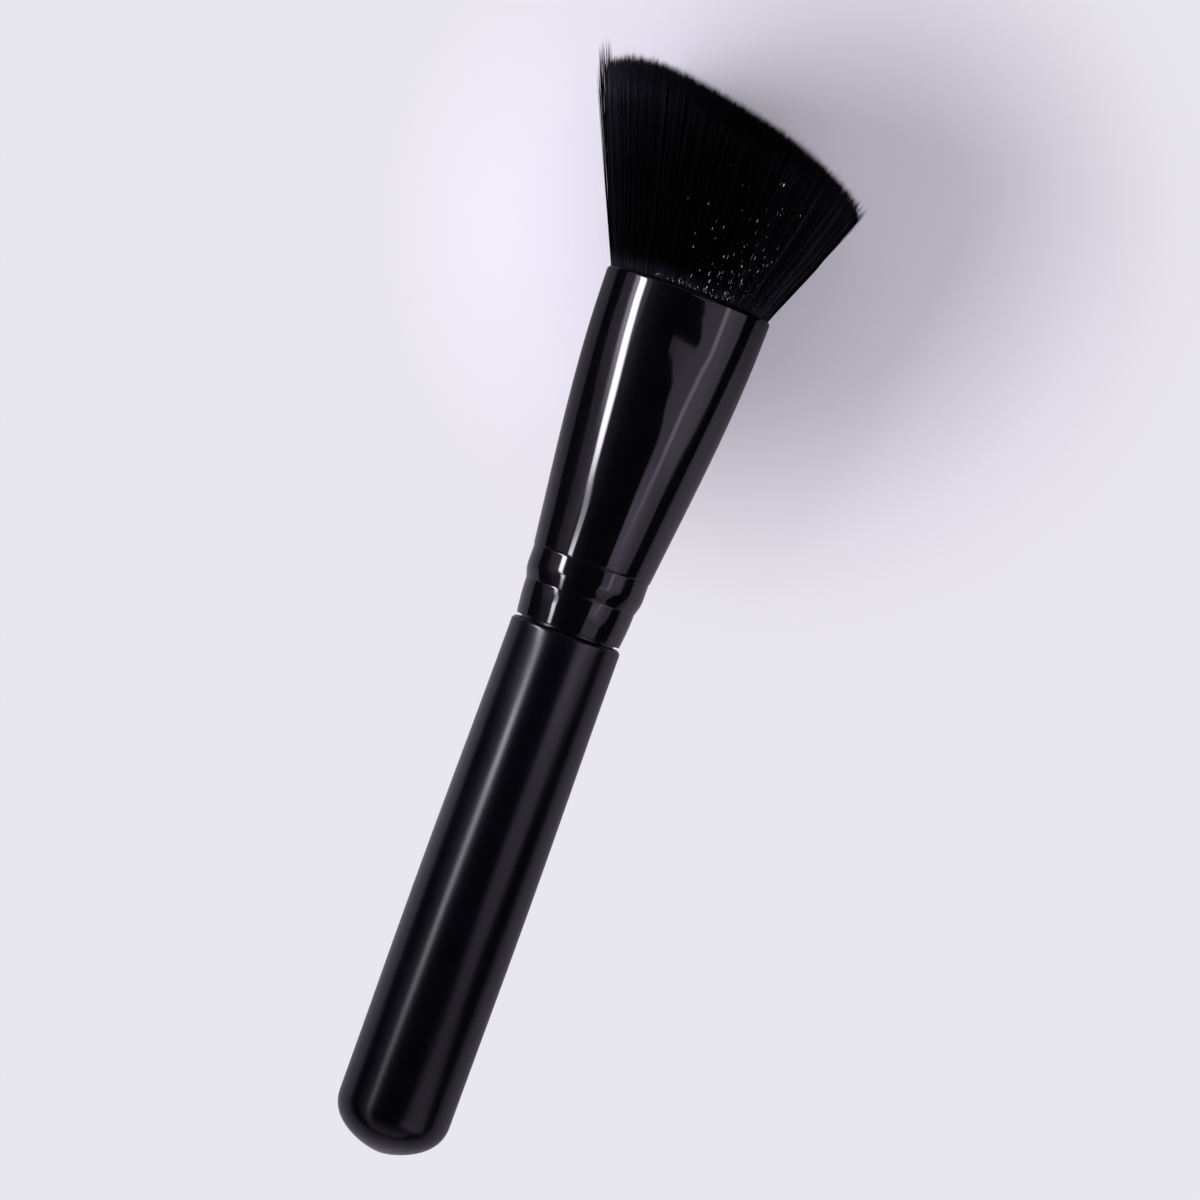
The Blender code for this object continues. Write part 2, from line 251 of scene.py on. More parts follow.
# Ferrule
# One thin aluminium tube, spun to a flare and anodised gloss black. It is crimped on to the tenon
# by a crease and a groove, and its mouth is rounded over round the fibres.
FERRULE_FOOT = 0.0776
FERRULE_LENGTH = 0.0498
WALL = 0.00045
FOOT_RADIUS = 0.0076
FOOT_ROUNDING = 0.0002
CREASE_HEIGHT = 0.0051
CREASE_RISE = 0.0004
CREASE_DEPTH = 0.000012
CREASE_WIDTH = 0.00008
BAND_SHOULDER = 0.0023
BAND_RADIUS = 0.0085
GROOVE_HEIGHT = 0.0098
GROOVE_DEPTH = 0.00005
GROOVE_WIDTH = 0.00010
FLARE_STEP = 0.0001
FLARE_START_SLOPE = 1.25
FLARE_END_SLOPE = 0.2
MOUTH_RADIUS = 0.01205
LIP_LENGTH = 0.0030
LIP_FLARE = 0.00008
LIP_ROUNDING = 0.00032
LIP_DROP = 0.00055
DENT_REACH = 3
WALL_ROWS = (14, 19, 20, 19, 50, 10)
FOOT_ROWS = 8
LIP_OUTSIDE_ROWS = 14
LIP_INSIDE_ROWS = 7
BLACK_METAL_DARK = (0.0004, 0.0003, 0.0007, 1.0)
BLACK_METAL_LIGHT = (0.0010, 0.0008, 0.0016, 1.0)
METAL_PATCH = 0.006
METAL_ROUGHNESS = (0.33, 0.38)
METAL_ROUGH_PATCH = 0.003
METAL_SHEEN = 0.03
COAT_ROUGHNESS = 0.06
COAT_IOR = 1.40
WAVE_SIZE = 0.010
WAVE_DEPTH = 0.000002
SPUN_LINE_WIDTH = 0.0004
SPUN_LINE_DEPTH = 0.0000001
TURNS_PER_SPUN_LINE = 0.002


def dent(height, middle, width, depth):
    """A groove turned into a wall: minus depth at its middle, fading as a bell curve of that width."""
    return -depth * np.exp(-(((height - middle) / width) ** 2))


def ferrule_radius(height):
    """Outer radius by height over the foot.

    The foot rises by a quarter sine to the crease, the band's shoulder by another, and the band
    stays level to the groove. The flare is a cubic with given slopes at its ends, and the lip is
    a straight cone.
    """
    crease_radius = FOOT_RADIUS + CREASE_RISE
    flare_end = FERRULE_LENGTH - LIP_LENGTH
    share = np.clip((height - GROOVE_HEIGHT) / (flare_end - GROOVE_HEIGHT), 0, 1)
    rise = share**2 * (3 - 2 * share)
    rise += FLARE_START_SLOPE * share * (1 - share) ** 2 - FLARE_END_SLOPE * share**2 * (1 - share)
    flare_foot = BAND_RADIUS + FLARE_STEP
    flare = flare_foot + (MOUTH_RADIUS - LIP_FLARE - flare_foot) * rise
    foot = FOOT_RADIUS + CREASE_RISE * np.sin(np.pi / 2 * np.clip(height / CREASE_HEIGHT, 0, 1))
    up_shoulder = np.clip((height - CREASE_HEIGHT) / BAND_SHOULDER, 0, 1)
    shoulder = crease_radius + (BAND_RADIUS - crease_radius) * np.sin(np.pi / 2 * up_shoulder)
    lip = MOUTH_RADIUS - LIP_FLARE * (FERRULE_LENGTH - height) / LIP_LENGTH
    radius = np.select(
        [height < CREASE_HEIGHT, height < GROOVE_HEIGHT, height < flare_end], [foot, shoulder, flare], lip
    )
    radius += dent(height, CREASE_HEIGHT, CREASE_WIDTH, CREASE_DEPTH)
    return radius + dent(height, GROOVE_HEIGHT, GROOVE_WIDTH, GROOVE_DEPTH)


def black_metal_finish():
    """Gloss black anodised metal: faint spinning lines round it, and slow waves in the wall."""
    material, tree, shader = finish_of("gloss_black_anodised")
    texture = tree.nodes.new("ShaderNodeTexCoord")
    place = texture.outputs["Object"]
    tone = between(tree, mottle(tree, place, METAL_PATCH), 0, 1)
    tree.links.new(two_tone(tree, tone, BLACK_METAL_DARK, BLACK_METAL_LIGHT), shader.inputs["Base Color"])
    rough = between(tree, mottle(tree, place, METAL_ROUGH_PATCH), *METAL_ROUGHNESS)
    tree.links.new(rough, shader.inputs["Roughness"])
    shader.inputs["Specular IOR Level"].default_value = METAL_SHEEN
    shader.inputs["Coat Weight"].default_value = 1.0
    shader.inputs["Coat Roughness"].default_value = COAT_ROUGHNESS
    shader.inputs["Coat IOR"].default_value = COAT_IOR
    waves = raised(tree, mottle(tree, place, WAVE_SIZE, detail=0.0), WAVE_DEPTH, 1.0)
    lines = tree.nodes.new("ShaderNodeMapping")
    lines.inputs["Scale"].default_value = (TURNS_PER_SPUN_LINE, 1.0, 1.0)
    tree.links.new(texture.outputs["UV"], lines.inputs["Vector"])
    spun = raised(tree, mottle(tree, lines.outputs["Vector"], SPUN_LINE_WIDTH), SPUN_LINE_DEPTH, 1.0, waves)
    tree.links.new(spun, shader.inputs["Normal"])
    tree.links.new(waves, shader.inputs["Coat Normal"])
    return material


crease_reach, groove_reach = DENT_REACH * CREASE_WIDTH, DENT_REACH * GROOVE_WIDTH
wall_stops = (
    FOOT_ROUNDING, CREASE_HEIGHT - crease_reach, CREASE_HEIGHT + crease_reach, GROOVE_HEIGHT - groove_reach,
    GROOVE_HEIGHT + groove_reach, FERRULE_LENGTH - LIP_LENGTH, FERRULE_LENGTH - LIP_DROP,
)
wall_heights = np.unique(np.concatenate([
    np.linspace(low, high, rows) for low, high, rows in zip(wall_stops, wall_stops[1:], WALL_ROWS)
]))
outer_wall = np.column_stack([ferrule_radius(wall_heights), wall_heights])
inner_wall = outer_wall[::-1] - (WALL, 0)
foot_round = arc(
    outer_wall[0, 0] - FOOT_ROUNDING, FOOT_ROUNDING, FOOT_ROUNDING, FOOT_ROUNDING, -np.pi / 2, 0, FOOT_ROWS
)[:-1]
lip_middle, lip_base = outer_wall[-1] - (LIP_ROUNDING, 0)
lip_outside = arc(lip_middle, lip_base, LIP_ROUNDING, LIP_DROP, 0, np.pi / 2, LIP_OUTSIDE_ROWS)[1:]
lip_inside = arc(
    lip_middle, lip_base, WALL - LIP_ROUNDING, LIP_DROP, np.pi / 2, np.pi, LIP_INSIDE_ROWS
)[1:-1]
inner_foot = [(inner_wall[-1, 0], 0)]
ferrule_outline = np.vstack([foot_round, outer_wall, lip_outside, lip_inside, inner_wall, inner_foot])
ferrule_outline = ferrule_outline + (0, FERRULE_FOOT)
ferrule = turned_piece("spun_ferrule", ferrule_outline, closed=True)
ferrule.data.materials.append(black_metal_finish())
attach(ferrule, "root")
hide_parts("ferrule")

# Bristle tuft
# Tens of thousands of straight synthetic fibres, packed tight in the ferrule's mouth. They fan out
# to a slanted, domed cut, longer on one side, and are bonded in resin at their roots. Their colour
# holds painted light: paler tips, and a painted sheen towards the sides, strongest on the short side.
RIM = FERRULE_FOOT + FERRULE_LENGTH
LOCKS = 8
FIBRES_PER_LOCK = 6450
FIBRE_SEED = 7
FIBRE_RADIUS = 0.000046
ROOT_DEPTH = 0.0085
MOUTH_CLEARANCE = 0.00005
MOUTH_FIBRE_RADIUS = MOUTH_RADIUS - WALL - MOUTH_CLEARANCE
ROOT_FIBRE_RADIUS = 0.0110
LONG_REACH = 0.0218
SHORT_REACH = 0.0182
DEPTH_REACH = 0.0173
LONG_SIDE_LENGTH = 0.0266
SHORT_SIDE_LENGTH = 0.0190
DOME_RISE = 0.0037
LONG_SIDE_DOME_POWER = 4.0
SHORT_SIDE_DOME_POWER = 2.4
FACE_FALL = 0.0019
CUT_SQUARENESS = 2.6
SHORT_SIDE_BOW = 0.0005
BODY_STOPS = (0, 0.5, 0.78)
TAPER_START = 0.86
THICKNESS_RANGE = (0.8, 1.15)
LENGTH_SCATTER = 0.00050
TIP_SCATTER = 0.00025
LONG_FIBRE_SHARE = 0.06
LONG_FIBRE_EXTRA = 0.0006
FIBRE_DARK = (0.0002, 0.0002, 0.0003, 1.0)
FIBRE_LIGHT = (0.060, 0.057, 0.078, 1.0)
BODY_TONE = 0.001
BODY_TONE_SCATTER = 0.010
BODY_TONE_RANGE = (0.5, 1.5)
STREAK_RANGE = (0.5, 5.5)
STREAK_POWER = 5
SHORT_SIDE_STREAK_POWER = 9
# Painted sheen: fibres towards each side get a paler colour, in streaks, as if lit from that side
LONG_SIDE_PAINTED_SHEEN = 0.02
LONG_SIDE_SHEEN_START = -0.65
LONG_SIDE_SHEEN_POWER = 2.2
SHORT_SIDE_PAINTED_SHEEN = 0.25
SHORT_SIDE_SHEEN_START = 0.2
SHORT_SIDE_SHEEN_POWER = 1.8
# Painted light: the tips get a paler colour, most of all on the long side, as if lit there
TIP_PAINTED_LIGHT = 0.10
TIP_LIGHT_RANGE = (0.5, 1.2)
TIP_LIGHT_SHARES = (0, 0, 0.04, 0.17, 0.45, 1)
LONG_TIP_PAINTED_LIGHT = 0.78
LONG_TIP_LIGHT_START = 0.3
LONG_TIP_LIGHT_POWER = 2.8
FIBRE_ROUGHNESS = (0.45, 0.60)
FIBRE_ROUGH_PATCH = 0.0006
FIBRE_SHEEN = 0.01
# Painted sheen: fibres are paler just above the mouth, fading out over a few millimetres
MOUTH_PAINTED_SHEEN = 0.18
MOUTH_SHEEN_HEIGHT = 0.0025


def fibre_ends(x, y):
    """Where the fibre at (x, y) of the unit disc ends.

    The disc first grows square-shouldered: its rim becomes |x|^n + |y|^n = 1. Across, it is then
    stretched between the two reaches. The length falls evenly from the long side to the short
    one, plus a dome of one less |x| to a power, which is steeper on the long side, less a small
    fall towards both faces of the tuft.
    """
    turn = np.arctan2(y, x)
    powers = np.abs(np.cos(turn)) ** CUT_SQUARENESS + np.abs(np.sin(turn)) ** CUT_SQUARENESS
    grown = powers ** (-1 / CUT_SQUARENESS)
    x, y = x * grown, y * grown
    side = (x + 1) / 2
    across = -LONG_REACH + (LONG_REACH + SHORT_REACH) * side
    slant = LONG_SIDE_LENGTH + (SHORT_SIDE_LENGTH - LONG_SIDE_LENGTH) * side
    power = np.where(x < 0, LONG_SIDE_DOME_POWER, SHORT_SIDE_DOME_POWER)
    crest = DOME_RISE * (1 - np.abs(x) ** power)
    return np.column_stack([across, y * DEPTH_REACH, slant + crest - FACE_FALL * y**2])


def fibre_tuft(name, lines, tips, thickness, tones, seed):
    """Three-sided fibres, each carried along its own line from the resin to its tip.

    The lines are rows of points by fibre, and the tips a last point each. A fibre's three corners
    stand its thickness away from the line, at a random turn plus thirds of a circle, and close to
    a point at the tip. The tones are an attribute by fibre and point.
    """
    count, rings = lines.shape[:2]
    way = tips - lines[:, 0]
    way /= np.linalg.norm(way, axis=1, keepdims=True)
    one_side = np.cross(way, (0.0, 1.0, 0.0))
    one_side /= np.linalg.norm(one_side, axis=1, keepdims=True)
    other_side = np.cross(way, one_side)
    turn = np.random.default_rng(seed).uniform(0, 2 * np.pi, (count, 1, 1))
    turn = turn + 2 * np.pi * np.arange(3)[:, None] / 3
    spoke = np.cos(turn) * one_side[:, None] + np.sin(turn) * other_side[:, None]
    corners = lines[:, :, None] + thickness[:, None, None, None] * spoke[:, None]
    points = np.concatenate([corners.reshape(count, -1, 3), tips[:, None]], 1).reshape(-1, 3)
    points = laid(points[:, 0], points[:, 1], RIM + points[:, 2])
    each = 3 * rings + 1
    ring, third = np.arange(rings - 1)[:, None], np.arange(3)[None, :]
    here, beside = 3 * ring + third, 3 * ring + (third + 1) % 3
    quads = np.stack([here, beside, beside + 3, here + 3], -1).reshape(-1)
    top = 3 * (rings - 1)
    tip = top + 3
    ends = np.array([(2, 1, 0), (top, top + 1, tip), (top + 1, top + 2, tip), (top + 2, top, tip)])
    first = (np.arange(count) * each)[:, None]
    faces = (first + quads).reshape(-1, 4).tolist() + (first + ends.reshape(-1)).reshape(-1, 3).tolist()
    mesh = bpy.data.meshes.new(name)
    mesh.from_pydata(points, [], faces)
    by_point = np.concatenate([np.repeat(tones[:, :-1], 3, axis=1), tones[:, -1:]], 1)
    tone = mesh.attributes.new("tone", "FLOAT", "POINT")
    tone.data.foreach_set("value", by_point.astype(np.float32).ravel())
    mesh.shade_smooth()
    tuft = bpy.data.objects.new(name, mesh)
    bpy.context.scene.collection.objects.link(tuft)
    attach(tuft, "root")
    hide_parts("bristle_tuft")
    return tuft


def fibre_lines(x, y, tips, bow, shares):
    """A fibre's line starts at its root in the resin and passes its place in the mouth.

    From there its point at share t is mouth + (tip - mouth) t + bow 4 t (1 - t).
    """
    roots = np.column_stack([x * ROOT_FIBRE_RADIUS, y * ROOT_FIBRE_RADIUS, np.full(len(x), -ROOT_DEPTH)])
    mouths = np.column_stack([x * MOUTH_FIBRE_RADIUS, y * MOUTH_FIBRE_RADIUS, np.zeros(len(x))])
    t = np.array(shares)[None, :, None]
    fanned = mouths[:, None] + (tips - mouths)[:, None] * t + bow[:, None] * 4 * t * (1 - t)
    return np.concatenate([roots[:, None], fanned], 1)


def ramp(tree, value, start, fade, low=0.0, high=1.0):
    """Rises smoothly from low to high as the value goes on from start by the fade."""
    spread = tree.nodes.new("ShaderNodeMapRange")
    spread.interpolation_type = "SMOOTHSTEP"
    spread.inputs["From Min"].default_value = start
    spread.inputs["From Max"].default_value = start + fade
    spread.inputs["To Min"].default_value = low
    spread.inputs["To Max"].default_value = high
    tree.links.new(value, spread.inputs["Value"])
    return spread.outputs["Result"]


def measured(tree, place, operation, other):
    """The point's distance from another point, or how far it lies along a direction."""
    measure = tree.nodes.new("ShaderNodeVectorMath")
    measure.operation = operation
    measure.inputs[1].default_value = other
    tree.links.new(place, measure.inputs[0])
    return measure.outputs["Value"]


def worked(tree, operation, first, second):
    """One value worked out from two, of which the second may be a plain number."""
    node = tree.nodes.new("ShaderNodeMath")
    node.operation = operation
    tree.links.new(first, node.inputs[0])
    if isinstance(second, float):
        node.inputs[1].default_value = second
    else:
        tree.links.new(second, node.inputs[1])
    return node.outputs["Value"]


def fibre_finish(name, roughness, sheen):
    """Black synthetic fibre with a soft sheen, paler where the tone attribute says and just above the mouth,
    where a painted sheen lies.
    """
    material, tree, shader = finish_of(name)
    attribute = tree.nodes.new("ShaderNodeAttribute")
    attribute.attribute_name = "tone"
    place = tree.nodes.new("ShaderNodeTexCoord").outputs["Object"]
    mouth = float(np.dot(BUTT, ALONG) + RIM)
    height = measured(tree, place, "DOT_PRODUCT", ALONG)
    # Painted sheen just above the mouth's rim
    painted_mouth_sheen = ramp(tree, height, mouth, MOUTH_SHEEN_HEIGHT, MOUTH_PAINTED_SHEEN, 0.0)
    tone = worked(tree, "ADD", attribute.outputs["Fac"], painted_mouth_sheen)
    tree.links.new(two_tone(tree, tone, FIBRE_DARK, FIBRE_LIGHT), shader.inputs["Base Color"])
    rough = between(tree, mottle(tree, place, FIBRE_ROUGH_PATCH), *roughness)
    tree.links.new(rough, shader.inputs["Roughness"])
    shader.inputs["Specular IOR Level"].default_value = sheen
    return material


def share_past(x, start, end, power):
    """How far x has gone from start to end, from 0 to 1, to a power."""
    return np.clip((x - start) / (end - start), 0, 1) ** power


chance = np.random.default_rng(FIBRE_SEED)
total = LOCKS * FIBRES_PER_LOCK
spot_turn = chance.uniform(-np.pi, np.pi, total)
spot_reach = np.sqrt(chance.uniform(0, 1, total))
spot_x, spot_y = spot_reach * np.cos(spot_turn), spot_reach * np.sin(spot_turn)
tips = fibre_ends(spot_x, spot_y)
tips[:, :2] += chance.normal(0, TIP_SCATTER, (total, 2))
tips[:, 2] += chance.normal(0, LENGTH_SCATTER, total)
is_long = chance.random(total) < LONG_FIBRE_SHARE
tips[:, 2] += is_long * chance.uniform(0, LONG_FIBRE_EXTRA, total)
bow = np.zeros((total, 3))
bow[:, 0] = SHORT_SIDE_BOW * np.clip(spot_x, 0, 1) ** 2
lines = fibre_lines(spot_x, spot_y, tips, bow, (*BODY_STOPS, TAPER_START))
thickness = FIBRE_RADIUS * chance.uniform(*THICKNESS_RANGE, total)
# Nearly black with random tone; painted sheen in streaks towards both sides, painted light at the tips
streak_power = STREAK_POWER + (SHORT_SIDE_STREAK_POWER - STREAK_POWER) * np.clip(spot_x, 0, 1)
streak = STREAK_RANGE[0] + (STREAK_RANGE[1] - STREAK_RANGE[0]) * chance.random(total) ** streak_power
body_tone_and_sheen = BODY_TONE + BODY_TONE_SCATTER * chance.random(total) ** 3
# Painted sheen towards the long and the short side
body_tone_and_sheen += streak * LONG_SIDE_PAINTED_SHEEN * share_past(spot_x, LONG_SIDE_SHEEN_START, -1, LONG_SIDE_SHEEN_POWER)
body_tone_and_sheen += streak * SHORT_SIDE_PAINTED_SHEEN * share_past(spot_x, SHORT_SIDE_SHEEN_START, 1, SHORT_SIDE_SHEEN_POWER)
# Painted light at the tips, strongest on the long side
painted_tip_light = TIP_PAINTED_LIGHT + (LONG_TIP_PAINTED_LIGHT - TIP_PAINTED_LIGHT) * share_past(spot_x, LONG_TIP_LIGHT_START, -1, LONG_TIP_LIGHT_POWER)
painted_tip_light *= chance.uniform(*TIP_LIGHT_RANGE, total)
tones = body_tone_and_sheen[:, None] * chance.uniform(*BODY_TONE_RANGE, (total, len(TIP_LIGHT_SHARES)))
tones += painted_tip_light[:, None] * TIP_LIGHT_SHARES
fibre_black = fibre_finish("black_fibre", FIBRE_ROUGHNESS, FIBRE_SHEEN)
for number, lock in enumerate(np.array_split(np.argsort(spot_turn), LOCKS), 1):
    piece = fibre_tuft(
        f"bristle_lock_{number}", lines[lock], tips[lock], thickness[lock], tones[lock], number
    )
    piece.data.materials.append(fibre_black)

# Stray fibres
# The outermost fibres stand a little off the tuft: a thin fringe along the long side, and a few
# that curl out at the short side's corner.
FRINGE_WISPS = 12
FRINGE_SPREAD = 0.25
FRINGE_STAND_OFF = 0.0023
FRINGE_BOW = 0.0004
FRINGE_SHORTEST = 0.72
FRINGE_EXTRA = 0.0026
CORNER_WISPS = 16
CORNER_SPREAD = 0.35
CORNER_STAND_OFF = 0.0013
CORNER_BOW = 0.0003
CORNER_SHORTEST = 0.84
CORNER_EXTRA = 0.0005
STRAY_SEED = 0
WISP_FIBRES = 4
WISP_LEAST_OUT = 0.3
WISP_BEND_RANGE = (-0.3, 1.2)
WISP_SCATTER = 0.00005
WISP_STOPS = (0, 0.3, 0.6)
WISP_THICKNESS = 0.000062
WISP_THICKNESS_RANGE = (0.7, 1.0)


def edge_fibres(wisps, middle_turn, spread, stand_off, bow_out, shortest, extra):
    """Wisps of fibres at the disc's rim, within spread radians of a turn.

    A wisp leans out by a share of the stand-off that grows evenly from wisp to wisp, from the least
    to one, and ends at a share of the full length, and its extra, that is drawn between the shortest
    and one. Its fibres keep within the scatter of each other.
    """
    wisp = np.repeat(np.arange(wisps), WISP_FIBRES)
    count = len(wisp)
    turn = middle_turn + chance.uniform(-spread, spread, wisps)[wisp]
    x, y = np.cos(turn), np.sin(turn)
    mouths = np.column_stack([x * MOUTH_FIBRE_RADIUS, y * MOUTH_FIBRE_RADIUS, np.zeros(count)])
    ends = fibre_ends(x, y) + (0, 0, extra)
    length_share = 1 - (1 - shortest) * chance.uniform(0, 1, wisps) ** 3
    ends = mouths + (ends - mouths) * length_share[wisp, None]
    out = stand_off * (WISP_LEAST_OUT + (1 - WISP_LEAST_OUT) * (wisp + 1) / wisps)
    out = out + chance.normal(0, WISP_SCATTER, count)
    ends += np.column_stack([out * x, out * y, chance.normal(0, LENGTH_SCATTER, count)])
    bend = np.zeros((count, 3))
    bend[:, 0] = -x * bow_out * chance.uniform(*WISP_BEND_RANGE, wisps)[wisp]
    return fibre_lines(x, y, ends, bend, (*WISP_STOPS, TAPER_START)), ends


fringe_lines, fringe_ends = edge_fibres(
    FRINGE_WISPS, np.pi, FRINGE_SPREAD, FRINGE_STAND_OFF, FRINGE_BOW, FRINGE_SHORTEST, FRINGE_EXTRA
)
corner_lines, corner_ends = edge_fibres(
    CORNER_WISPS, 0.0, CORNER_SPREAD, CORNER_STAND_OFF, CORNER_BOW, CORNER_SHORTEST, CORNER_EXTRA
)
stray_count = (FRINGE_WISPS + CORNER_WISPS) * WISP_FIBRES
strays = fibre_tuft(
    "stray_fibres",
    np.concatenate([fringe_lines, corner_lines]),
    np.concatenate([fringe_ends, corner_ends]),
    WISP_THICKNESS * chance.uniform(*WISP_THICKNESS_RANGE, stray_count),
    np.full((stray_count, len(TIP_LIGHT_SHARES)), BODY_TONE),
    STRAY_SEED,
)
strays.data.materials.append(fibre_black)

# Pinched fibres
# Some fibres near the mouth were pinched flat when the ferrule was closed on them. Each pinched place
# turns its flat side up out of the tuft's upper face, and flashes there as a short bright dash.
PINCH_PLACE_SEED = 11
PINCH_SHAPE_SEED = 5
PINCHED_FIBRES = 420
RIM_PINCHED_FIBRES = 90
PINCH_PLACE = 0.65
PINCH_PLACE_SPREAD = 0.32
PINCH_PLACE_LIMITS = (-0.9, 0.93)
PINCH_LOWEST = 0.0005
PINCH_HEIGHT = 0.0070
PINCH_HIGHEST = 0.017
RIM_PINCH_PLACES = (-0.45, 0.88)
RIM_PINCH_HEIGHTS = (0.0002, 0.0007)
PINCH_TILT = np.radians(-33.4)
PINCH_LEAN = np.radians(-7.5)
PINCH_TILT_SPREAD = np.radians(6.0)
PINCH_LEAN_SPREAD = np.radians(5.0)
PINCH_TILT_BY_LEAN = -0.6
PINCH_LENGTH = 0.00023
PINCH_LENGTH_RANGE = (0.3, 1.6)
PINCH_WIDTH = 0.000028
PINCH_WIDTH_RANGE = (0.5, 1.5)
PINCH_SHOULDER = 0.55
RIM_PINCH_SIZE = 0.5
PINCH_DEPTH = 0.00016
PINCH_LIFT = 0.00010
PINCH_ROUGHNESS = (0.18, 0.32)
PINCH_SHEEN = 0.45


def pinched_places(across, height, size, seed):
    """Flat six-cornered faces, each with a point below it that is sunk in the tuft.

    A face stands at its height on the fibre at (x, -sqrt(1 - x^2)) of the mouth's rim. Its normal
    is (sin tilt cos lean, -cos tilt cos lean, sin lean), and its long way e is the fibre's way
    less its part along the normal. Its corners are +-a e and +-s a e +- b d, with d square to
    both, s the shoulder's share, and a half-length a and half-width b that go by its size.
    """
    draw = np.random.default_rng(seed)
    count = len(across)
    down = -np.sqrt(1 - across**2)
    mouths = np.column_stack([across, down, np.zeros(count)]) * (MOUTH_FIBRE_RADIUS, MOUTH_FIBRE_RADIUS, 0)
    ends = fibre_ends(across, down)
    share = height / ends[:, 2]
    middles = mouths + (ends - mouths) * share[:, None]
    middles[:, 0] += SHORT_SIDE_BOW * np.clip(across, 0, 1) ** 2 * 4 * share * (1 - share)
    middles[:, 1] -= PINCH_LIFT
    lean = draw.normal(PINCH_LEAN, PINCH_LEAN_SPREAD, count)
    tilt = draw.normal(PINCH_TILT, PINCH_TILT_SPREAD, count) + PINCH_TILT_BY_LEAN * (lean - PINCH_LEAN)
    normal = np.column_stack([np.sin(tilt) * np.cos(lean), -np.cos(tilt) * np.cos(lean), np.sin(lean)])
    way = (ends - mouths) / np.linalg.norm(ends - mouths, axis=1, keepdims=True)
    long_way = way - (way * normal).sum(1, keepdims=True) * normal
    long_way /= np.linalg.norm(long_way, axis=1, keepdims=True)
    wide_way = np.cross(normal, long_way)
    half_length = PINCH_LENGTH * size * draw.uniform(*PINCH_LENGTH_RANGE, count)
    half_width = PINCH_WIDTH * size * draw.uniform(*PINCH_WIDTH_RANGE, count)
    shoulder = PINCH_SHOULDER
    corner_length = np.array([1, shoulder, -shoulder, -1, -shoulder, shoulder])[None, :, None]
    corner_width = np.array([0, 1, 1, 0, -1, -1])[None, :, None]
    corners = middles[:, None] + half_length[:, None, None] * long_way[:, None] * corner_length
    corners = corners + half_width[:, None, None] * wide_way[:, None] * corner_width
    points = np.concatenate([corners, (middles - PINCH_DEPTH * normal)[:, None]], 1).reshape(-1, 3)
    first = 7 * np.arange(count)[:, None]
    corner = np.arange(6)
    sides = np.column_stack([(corner + 1) % 6, corner, np.full(6, 6)]).reshape(-1)
    faces = (first + corner).tolist() + (first + sides).reshape(-1, 3).tolist()
    mesh = bpy.data.meshes.new("pinched_fibres")
    mesh.from_pydata(laid(points[:, 0], points[:, 1], RIM + points[:, 2]), [], faces)
    return mesh


draw = np.random.default_rng(PINCH_PLACE_SEED)
pinch_across = np.concatenate([
    np.clip(draw.normal(PINCH_PLACE, PINCH_PLACE_SPREAD, PINCHED_FIBRES), *PINCH_PLACE_LIMITS),
    draw.uniform(*RIM_PINCH_PLACES, RIM_PINCHED_FIBRES),
])
pinch_height = np.concatenate([
    PINCH_LOWEST + np.clip(draw.exponential(PINCH_HEIGHT, PINCHED_FIBRES), 0, PINCH_HIGHEST),
    draw.uniform(*RIM_PINCH_HEIGHTS, RIM_PINCHED_FIBRES),
])
pinch_size = np.repeat([1.0, RIM_PINCH_SIZE], [PINCHED_FIBRES, RIM_PINCHED_FIBRES])
pinched_mesh = pinched_places(pinch_across, pinch_height, pinch_size, PINCH_SHAPE_SEED)
pinched_mesh.materials.append(fibre_finish("pinched_fibre", PINCH_ROUGHNESS, PINCH_SHEEN))
pinched = bpy.data.objects.new("pinched_fibres", pinched_mesh)
bpy.context.scene.collection.objects.link(pinched)
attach(pinched, "root")
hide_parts("bristle_tuft")

# Root resin and tenon glue
# The fibres' roots are set in a poured plug of dark resin, and cream wood glue holds the tenon.
# Both are sealed inside the ferrule.
RESIN_DARK = (0.030, 0.024, 0.018, 1.0)
RESIN_LIGHT = (0.075, 0.062, 0.048, 1.0)
RESIN_ROUGHNESS = (0.2, 0.35)
GLUE_DARK = (0.62, 0.54, 0.36, 1.0)
GLUE_LIGHT = (0.78, 0.72, 0.55, 1.0)
GLUE_ROUGHNESS = (0.45, 0.6)
CLOUD_SIZE = 0.003
SKIN_PATCH = 0.0015
SKIN_WAVE = 0.002
SKIN_DEPTH = 0.0001
SKIN_STRENGTH = 0.3


def set_finish(name, dark, light, roughness):
    """A poured and set mass: cloudy in colour, with a faintly uneven skin."""
    material, tree, shader = finish_of(name)
    place = tree.nodes.new("ShaderNodeTexCoord").outputs["Object"]
    tone = between(tree, mottle(tree, place, CLOUD_SIZE), 0, 1)
    tree.links.new(two_tone(tree, tone, dark, light), shader.inputs["Base Color"])
    rough = between(tree, mottle(tree, place, SKIN_PATCH), *roughness)
    tree.links.new(rough, shader.inputs["Roughness"])
    skin = raised(tree, mottle(tree, place, SKIN_WAVE), SKIN_DEPTH, SKIN_STRENGTH)
    tree.links.new(skin, shader.inputs["Normal"])
    return material


for node, finish in (
    ("root_plug", set_finish("cured_resin", RESIN_DARK, RESIN_LIGHT, RESIN_ROUGHNESS)),
    ("tenon_adhesive", set_finish("dried_glue", GLUE_DARK, GLUE_LIGHT, GLUE_ROUGHNESS)),
):
    frame["nodes"][node].data.materials.clear()
    frame["nodes"][node].data.materials.append(finish)

